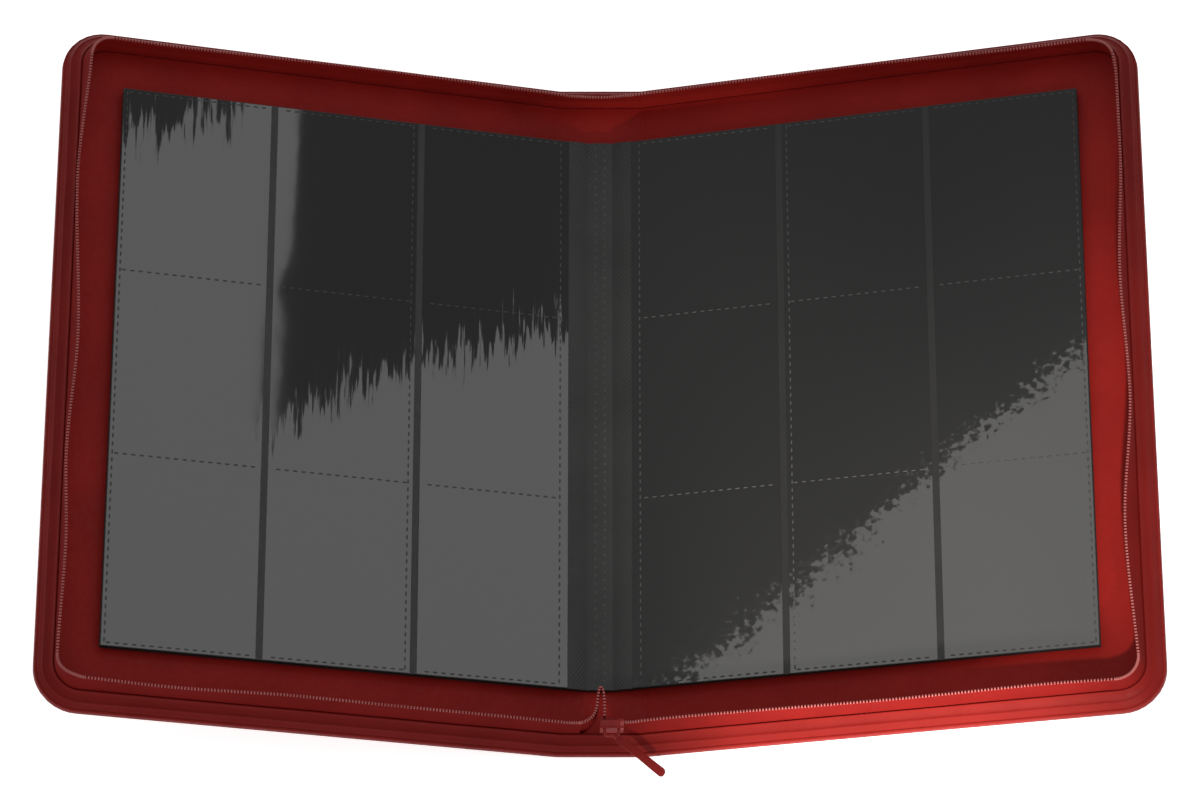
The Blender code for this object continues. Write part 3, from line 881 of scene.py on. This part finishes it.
DASH_PITCH = 4.1
DASH_SHAPE = bead(2.4, 0.36, 0.85, 0.8, 8, 4)
FLAT_DASH_SHAPE = bead(2.4, 0.14, 0.85, 0.8, 8, 4)
WELD_COLUMNS = (WELD_START, SLITS[0] + SLIT_WIDTH / 2 + 2.3, PAGE_END - 1.8)
WELD_ROWS = (-1.5 * POCKET_ROW, -0.5 * POCKET_ROW, 0.5 * POCKET_ROW, 1.5 * POCKET_ROW)


def build_dashes(side, word, face, body):
    """Short weld marks in rows: three down the columns of pockets and four across."""
    template = FLAT_DASH_SHAPE if face == "second" else DASH_SHAPE
    spots = [(s, y, 0) for s in WELD_COLUMNS for y in np.arange(-PAGE_HALF + 3, PAGE_HALF - 2, DASH_PITCH)]
    for y in WELD_ROWS:
        for s in np.arange(WELD_START + 3, PAGE_END - 3, DASH_PITCH):
            if min(abs(s - slit) for slit in SLITS) > SLIT_WIDTH / 2 + 1.4:
                spots.append((s, y, 1))
    flip = -1 if face == "back" else 1
    spots = np.array(spots)
    centres = page(side, spots[:, 0], spots[:, 1], np.full(len(spots), WELD_DEPTH[face]))
    along_s = np.array([side * math.cos(PAGE_TILT), 0, math.sin(PAGE_TILT)])
    along_y = np.array([0.0, 1.0, 0.0])
    up = flip * np.cross(along_s, along_y) * side
    axes = np.array([[along_s, along_y, up] if across else [along_y, along_s, up]
                     for across in spots[:, 2]])
    marks = scatter(f"welds_{word}_{face}", template, centres, axes, DASH)
    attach(marks, body)


def build_top_page(side, word, faces):
    """The page that shows: a black core with strips of film and weld marks on the faces named."""
    body = f"{word}_top_page"
    core = loft(f"page_{word}_top_sheet", sheet_rings(
        side, PAGE_START, PAGE_END, PAGE_HALF, CORE_DEPTH, CORE_THICK, LEAF_GRID, leaf_wave()), PAGE)
    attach(core, body)
    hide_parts(f"page_{word}_top_core")
    for face in faces:
        build_films(side, word, face, body)
        build_dashes(side, word, face, body)


GUTTER_HALF = PAGE_HALF + 0.2
GUTTER_START, GUTTER_END = -0.25, 9.75
GUTTER_THICK = 2.9
BINDING_FOOT, BINDING_TOP = 5.3, 8.58
DOT_SHAPE = bead(1.6, 0.4, 1.1, 1.0, 10, 4)
DOT_PLACE = 2.2  # from the middle to each row of dots
DOT_HEIGHT = 8.72
DOT_PITCH = 4.3


def swell(y):
    return 0.05 * np.sin(y / 23)


def build_gutters():
    """The slack embossed strip on each side of the binding."""
    def wave(s, y):
        return -0.25 * np.sin(np.pi * np.clip(s / PAGE_START, 0, 1)) - swell(y)

    for side, word, _ in SIDES:
        gutter = loft("gutter_sheet_" + word, sheet_rings(
            side, GUTTER_START, GUTTER_END, GUTTER_HALF, 0.1, GUTTER_THICK, GUTTER_GRID, wave), GUTTER)
        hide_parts("gutter_" + word)
        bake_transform(gutter)


def build_binding():
    """The welded middle of the leaves, with two staggered rows of weld dots."""
    y = np.linspace(-GUTTER_HALF, GUTTER_HALF, GUTTER_GRID[1])
    rings = []
    for x in (-6, -5, -4, -3, -1.5, 0, 1.5, 3, 4, 5, 6):
        top = BINDING_TOP + 0.25 * (1 - (x / FOLD_X) ** 2) + swell(y)
        upper = np.stack([np.full(len(y), x), y, top], -1)
        lower = np.stack([np.full(len(y), x), y[::-1], np.full(len(y), BINDING_FOOT)], -1)
        rings.append(np.concatenate([upper, lower]))
    block = loft("binding_strip", rings, GUTTER)
    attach(block, "spine")
    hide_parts("binding_block")
    spots = [(row * DOT_PLACE, y, DOT_HEIGHT)
             for row in (-1, 1) for y in np.arange(-141 + row, 142, DOT_PITCH)]
    axes = np.broadcast_to(np.eye(3)[[1, 0, 2]], (len(spots), 3, 3))
    dots = scatter("binding_dots", DOT_SHAPE, np.array(spots), axes, DASH)
    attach(dots, "spine")


# Zip slider

def rounded_plate(low, high, radius, material, name):
    """Box with rounded edges between two corners."""
    work = bmesh.new()
    bmesh.ops.create_cube(work, size=1)
    size = np.array(high) - np.array(low)
    middle = (np.array(high) + np.array(low)) / 2
    for vert in work.verts:
        vert.co = [(vert.co[k] * size[k] + middle[k]) * MM for k in range(3)]
    bmesh.ops.bevel(work, geom=work.edges[:], offset=radius * MM, segments=4, profile=0.5, affect="EDGES")
    mesh = bpy.data.meshes.new(name)
    work.to_mesh(mesh)
    work.free()
    mesh.shade_smooth()
    mesh.materials.append(material)
    return link_new(name, mesh)


def join(name, pieces):
    """One piece from several."""
    bpy.ops.object.select_all(action="DESELECT")
    for piece in pieces:
        piece.select_set(True)
    bpy.context.view_layer.objects.active = pieces[0]
    bpy.ops.object.join()
    pieces[0].name = name
    return pieces[0]


def tube(name, line, radius, material, sides=12, closed=False):
    """Round wire along a line of points."""
    line = np.array(line, float)
    ahead = unit(np.roll(line, -1, 0) - np.roll(line, 1, 0) if closed else np.gradient(line, axis=0))
    normal = unit(np.cross(ahead, (0.31, 0.17, 0.93)))  # the line never runs along this direction
    second = np.cross(ahead, normal)
    angle = circle(sides)
    rings = line[:, None] + radius * (np.cos(angle)[None, :, None] * normal[:, None]
                                      + np.sin(angle)[None, :, None] * second[:, None])
    if closed:
        rings = np.concatenate([rings, rings[:1]])
    return loft(name, rings, material, 180, capped=not closed)


PLATE_THICK = 1.25
LOOP_RADIUS = 0.75


def corners_of(node):
    """Lowest and highest corner of a CAD node, in millimetres."""
    return [np.array(corner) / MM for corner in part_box(node)]


def build_slider():
    """Two plates, a crown over them with a lip painted lighter as a highlight, and the loop for the ring.
    """
    (left, near, foot), (right, far, top) = corners_of("slider_body")
    body = join("slider_shell", [
        rounded_plate((left, near, foot), (right, near + PLATE_THICK, top), 0.5, COATED, "outer_plate"),
        rounded_plate((left, far - PLATE_THICK, foot), (right, far, top), 0.5, COATED, "inner_plate"),
        rounded_plate((left + 0.1, near + 0.2, top - 1.5), (right - 1.9, far - 0.1, top), 0.45,
                      COATED, "crown"),
        # The lip takes the lighter coating as a painted highlight.
        rounded_plate((right - 2.0, near - 0.1, top - 1.9), (right + 0.1, far + 0.1, top - 0.5), 0.35,
                      COATED_HIGHLIGHT, "lip"),
    ])
    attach(body, "zip_slider")
    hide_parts("slider_body")
    (left, near, foot), (right, far, top) = corners_of("slider_bridge")
    z = (foot + top) / 2
    route = curve_through(((left + 0.6, far + 0.2, z), (left + 0.8, near + 1.6, z),
                           (left + 2.2, near + 0.65, z), (right - 2.2, near + 0.65, z),
                           (right - 0.8, near + 1.6, z), (right - 0.6, far + 0.2, z)), 0.5)
    loop = tube("slider_loop", route, LOOP_RADIUS, COATED)
    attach(loop, "zip_slider")
    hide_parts("slider_bridge")


PULL_LINE = ((8.0, -174.6, 26.2), (12.5, -177.6, 25.1), (18.5, -181.4, 22.6), (25.0, -185.4, 18.2),
             (30.0, -188.2, 14.2))  # (x, y, z) down the middle of the tab, from its ring to its tip
PULL_ROOT, PULL_TIP = 3.4, 4.6  # width at each end
PULL_THICK = 1.24
PULL_SIDES = 24
RING_MIDDLE = (6.2, -173.6, 26.3)
RING_OUT = (0.83, -0.55, -0.1)
RING_LONG, RING_HIGH = 1.75, 1.1
RING_WIRE = 0.42


def build_pull():
    """Leather tab with a seam line along each edge, on a wire ring."""
    line = curve_through(PULL_LINE, 0.6)
    ahead = unit(np.gradient(line, axis=0))
    across = unit(np.cross(ahead, (0, 0, 1)))
    up = np.cross(across, ahead)
    run = np.linspace(0, 1, len(line))
    rounded_tip = np.sqrt(np.clip(1 - np.maximum((run - 0.93) / 0.085, 0) ** 2, 0.12, 1))
    rounded_root = np.sqrt(np.clip(1 - np.maximum((0.05 - run) / 0.06, 0) ** 2, 0.2, 1))
    half = (PULL_ROOT + (PULL_TIP - PULL_ROOT) * run) / 2 * rounded_tip * rounded_root
    c, s = np.cos(circle(PULL_SIDES)), np.sin(circle(PULL_SIDES))
    flat = np.sign(c) * np.abs(c) ** 0.55
    seam = 1 - 0.28 * np.exp(-((np.abs(flat) - 0.72) / 0.1) ** 2)
    thick = PULL_THICK / 2 * np.sign(s) * np.abs(s) ** 0.7 * seam
    rings = (line[:, None] + across[:, None] * (half[:, None] * flat[None, :])[:, :, None]
             + up[:, None] * np.broadcast_to(thick, (len(line), PULL_SIDES))[:, :, None])
    tab = loft("pull_strap", rings, PULL, 180)
    turn = circle(32)[:, None]
    outward_part = RING_LONG * np.cos(turn) * unit(np.array(RING_OUT))
    ring_line = RING_MIDDLE + outward_part + RING_HIGH * np.sin(turn) * np.array([0, 0, 1])
    ring = tube("pull_ring", ring_line, RING_WIRE, COATED, closed=True)
    pull = join("pull_tab_strap", [tab, ring])
    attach(pull, "zip_pull")
    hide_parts("pull_tab")


# Room

FLOOR_SIZE = 6000  # from the middle to each edge
FLOOR_PLACE = -0.2
FLOOR_GLOW = 0.72
WORLD_GLOW = 0.62
LAMP_DISTANCE = 1.1
LAMP_COLOR = (1, 0.93, 0.86)
CARD_HEIGHT = 1200.0
# The bright shape that the camera sees mirrored in each side's pages: corners (s, y) on the top page
LEFT_SHINE = ((278.5, 117.5), (234, 119), (176, 145), (162.5, 176), (144.5, 173.5), (153.5, 67), (157, 19),
              (159, -28), (128, -9), (93.5, 15.5), (64, 24.5), (24, 39.5), (-37, 40), (-37, -251),
              (278.5, -221))
RIGHT_SHINE = ((308, 48.5), (231, 5), (161, -46), (92, -100), (37.5, -143), (-15.5, -164), (-15.5, -249),
               (308, -218.5))


def plane(name, corners, material):
    """Flat stage piece with one face, through corners in millimetres."""
    mesh = bpy.data.meshes.new(name)
    mesh.from_pydata((np.array(corners) * MM).tolist(), [], [tuple(range(len(corners)))])
    mesh.materials.append(material)
    obj = link_new(name, mesh)
    return obj


def card_corner(side, s, y):
    """Where the card has its corner, for the camera to see it mirrored in the page at (s, y)."""
    spot = page(side, s, y, 0)
    normal = np.array([-side * math.sin(PAGE_TILT), 0, math.cos(PAGE_TILT)])
    eye = np.array(CAMERA_PLACE)
    mirrored_eye = eye - 2 * np.dot(eye - spot, normal) * normal
    reach = (CARD_HEIGHT - mirrored_eye[2]) / (spot[2] - mirrored_eye[2])
    return mirrored_eye + reach * (spot - mirrored_eye)


def card(name, side, shine, strength, color):
    """A glowing card above the binder that only gloss sees."""
    material = bpy.data.materials.new(name)
    material.use_nodes = True
    nodes, links = material.node_tree.nodes, material.node_tree.links
    nodes.remove(nodes["Principled BSDF"])
    glow = add_node(nodes, "Emission", Color=(*color, 1), Strength=strength)
    links.new(glow.outputs["Emission"], nodes["Material Output"].inputs["Surface"])
    obj = plane(name, [card_corner(side, s, y) for s, y in shine], material)
    obj.visible_camera = False
    obj.visible_diffuse = False
    obj.visible_shadow = False
    obj.visible_transmission = False


def spot_lamp(name, target, direction, energy, spread):
    """Soft-edged warm lamp aimed at a target in metres, from a direction."""
    direction = np.array(direction) / np.linalg.norm(direction)
    light = bpy.data.lights.new(name, "SPOT")
    light.energy = energy
    light.spot_size = math.radians(spread)
    light.spot_blend = 1.0
    light.shadow_soft_size = 0.03
    light.color = LAMP_COLOR
    lamp = link_new(name, light)
    lamp.location = (np.array(target) + LAMP_DISTANCE * direction).tolist()
    lamp.rotation_euler = (math.acos(direction[2]), 0, math.atan2(direction[0], -direction[1]))


def build_room():
    floor_material, nodes, links, shader, where = new_material("pale_floor", (0.9, 0.9, 0.9), 0.9)
    set_inputs(shader, Emission_Color=(1, 1, 1, 1), Emission_Strength=FLOOR_GLOW)
    grain = noise(nodes, links, where, 60.0)
    vary(nodes, links, shader, grain, "Base Color", (0.88, 0.88, 0.88), (0.93, 0.93, 0.93))
    quarters = ((-1, -1), (1, -1), (1, 1), (-1, 1))
    plane("floor", [(x * FLOOR_SIZE, y * FLOOR_SIZE, FLOOR_PLACE) for x, y in quarters], floor_material)
    card("left_card", -1, LEFT_SHINE, 4.5, (1, 0.99, 0.99))
    card("right_card", 1, RIGHT_SHINE, 4.6, (1, 0.99, 0.95))
    world = bpy.data.worlds.new("studio")
    bpy.context.scene.world = world
    world.use_nodes = True
    set_inputs(world.node_tree.nodes["Background"], Color=(1, 1, 1, 1), Strength=WORLD_GLOW)
    spot_lamp("key_low", (0.138, -0.172, 0.04), (0.20, -0.86, 0.47), 165, 13)
    spot_lamp("key_side", (0.245, -0.058, 0.07), (-0.05, -0.71, 0.70), 52, 12.5)
    bpy.context.scene.view_settings.view_transform = "Standard"


CAMERA_LENS = 144.1  # with a sensor 36 mm wide
CAMERA_TILT = math.radians(23.07)


def build_camera():
    data = bpy.data.cameras.new("camera")
    data.lens = CAMERA_LENS
    data.sensor_width = 36.0
    data.clip_end = 50.0
    camera = link_new("camera", data)
    camera.location = np.array(CAMERA_PLACE) * MM
    camera.rotation_euler = (CAMERA_TILT, 0, 0)
    bpy.context.scene.camera = camera


def dress_cad_nodes():
    """Better materials for the CAD nodes that still show, by their material slots."""
    finishes = {"foam": FOAM, "board": BOARD, "stop": COATED}
    for name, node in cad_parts.items():
        for word, material in finishes.items():
            if word in name:
                for slot in node.material_slots:
                    slot.material = material


build_camera()
for side, word, body in SIDES:
    build_cover(side, body)
    build_leaves(side, word)
    build_top_page(side, word, ("front", "back") if side < 0 else ("front",))
build_spine()
build_spine_ends()
build_tail()
build_gutters()
build_binding()
build_slider()
build_pull()
dress_cad_nodes()
build_room()
